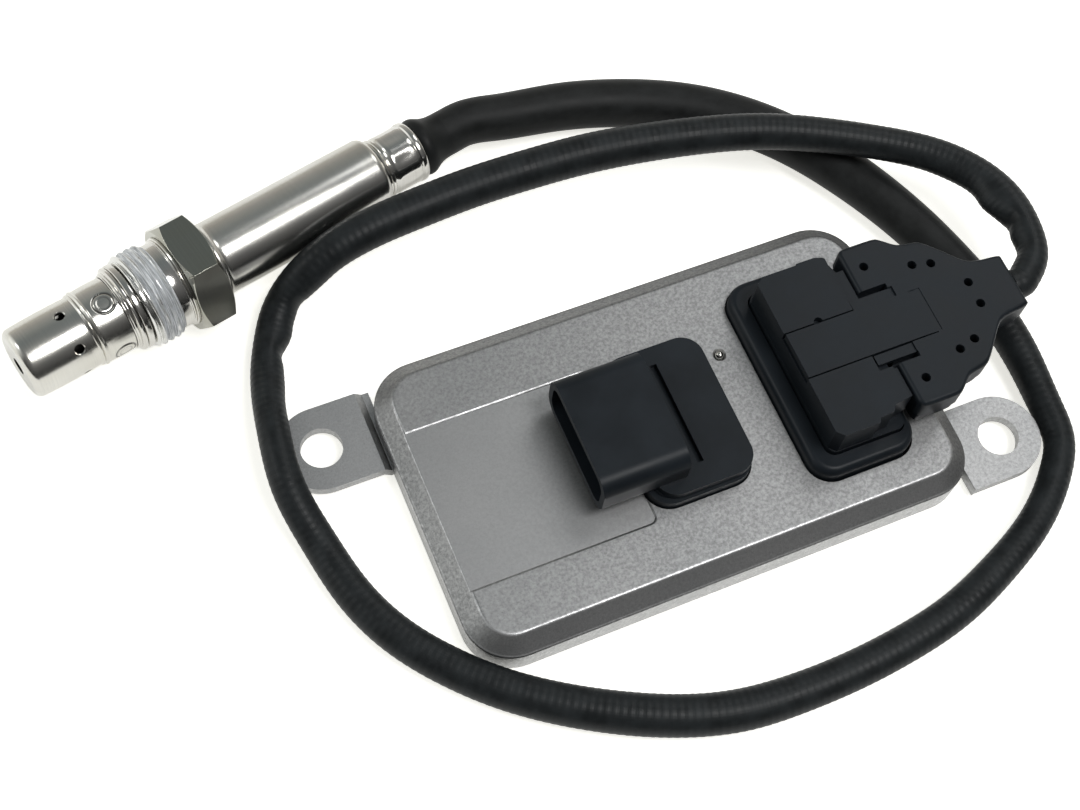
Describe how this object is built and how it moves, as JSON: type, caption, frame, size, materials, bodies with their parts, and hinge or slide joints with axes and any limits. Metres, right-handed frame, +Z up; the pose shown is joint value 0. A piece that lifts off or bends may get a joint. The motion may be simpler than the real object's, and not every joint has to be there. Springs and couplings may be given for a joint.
{
  "type": "nitrogen oxide sensor",
  "caption": "Exhaust gas sensor: threaded probe with a captive hexagon nut, armoured cable and a flat control unit.",
  "frame": {"origin": "on the underside of the control unit's base plate, close to the middle of the housing", "axes": "+Z up from the surface it lies on; +X along the control unit's long side, from the vehicle socket towards the sensor plug; +Y from the control unit towards the probe"},
  "size_m": [0.205, 0.1468, 0.0231],
  "materials": {
    "stainless_steel": "turned and drawn stainless steel, satin to bright",
    "nut_steel": "machined hexagon with a greyish assembly-paste film on the thread",
    "vent_steel": "bright pressed ball",
    "cast_aluminium": "die-cast, fine speckled satin skin",
    "plate_aluminium": "pressed sheet, dull",
    "ceramic": "white technical ceramic",
    "powder": "pressed mineral powder",
    "contact_brass": "thin plated contacts and pins",
    "black_plastic": "satin glass-filled moulding",
    "board": "laminate circuit board",
    "chip": "moulded chip packages",
    "seal_rubber": "silicone seals",
    "black_rubber": "matt black rubber",
    "braided_sleeve": "black heat-resistant braided sleeve"
  },
  "bodies": {
    "sensor": {"outer_protection_cap": "stainless_steel", "inner_protection_tube": "stainless_steel", "probe_shell": "stainless_steel", "sealing_ring": "stainless_steel", "press_ring": "stainless_steel", "protective_sleeve": "stainless_steel", "carrier_spring": "stainless_steel", "crimp_collar": "stainless_steel", "vent_ball": "vent_steel", "housing_cover": "cast_aluminium", "base_plate": "plate_aluminium", "buffer_capacitor": "plate_aluminium", "sensing_element": "ceramic", "front_insulator": "ceramic", "rear_insulator": "ceramic", "contact_carrier_upper": "ceramic", "contact_carrier_lower": "ceramic", "talc_seal": "powder", "contact_upper_1": "contact_brass", "contact_upper_2": "contact_brass", "contact_upper_3": "contact_brass", "contact_upper_4": "contact_brass", "contact_lower_1": "contact_brass", "contact_lower_2": "contact_brass", "contact_lower_3": "contact_brass", "contact_lower_4": "contact_brass", "sensor_pin_1": "contact_brass", "sensor_pin_2": "contact_brass", "sensor_pin_3": "contact_brass", "sensor_pin_4": "contact_brass", "sensor_pin_5": "contact_brass", "sensor_pin_6": "contact_brass", "sensor_pin_7": "contact_brass", "sensor_pin_8": "contact_brass", "vehicle_pin_1": "contact_brass", "vehicle_pin_2": "contact_brass", "vehicle_pin_3": "contact_brass", "vehicle_pin_4": "contact_brass", "vehicle_pin_5": "contact_brass", "vehicle_header": "black_plastic", "sensor_header": "black_plastic", "plug_body": "black_plastic", "plug_cover_upper": "black_plastic", "plug_cover_lower": "black_plastic", "circuit_board": "board", "microcontroller": "chip", "driver_chip": "chip", "housing_seal": "seal_rubber", "vehicle_header_seal": "seal_rubber", "sensor_header_seal": "seal_rubber", "plug_seal": "seal_rubber", "cable_boot": "black_rubber", "cable_grommet": "black_rubber", "cable_hose": "black_rubber", "cable_sleeve": "braided_sleeve"},
    "nut": {"mounting_nut": "nut_steel"}
  },
  "joints": [
    {"name": "nut_spin", "type": "hinge", "parent": "sensor", "child": "nut", "pos_m": [-0.08009, 0.06372, 0.01175], "axis": [0.9685, 0.2447, -0.0458], "continuous": true}
  ]
}
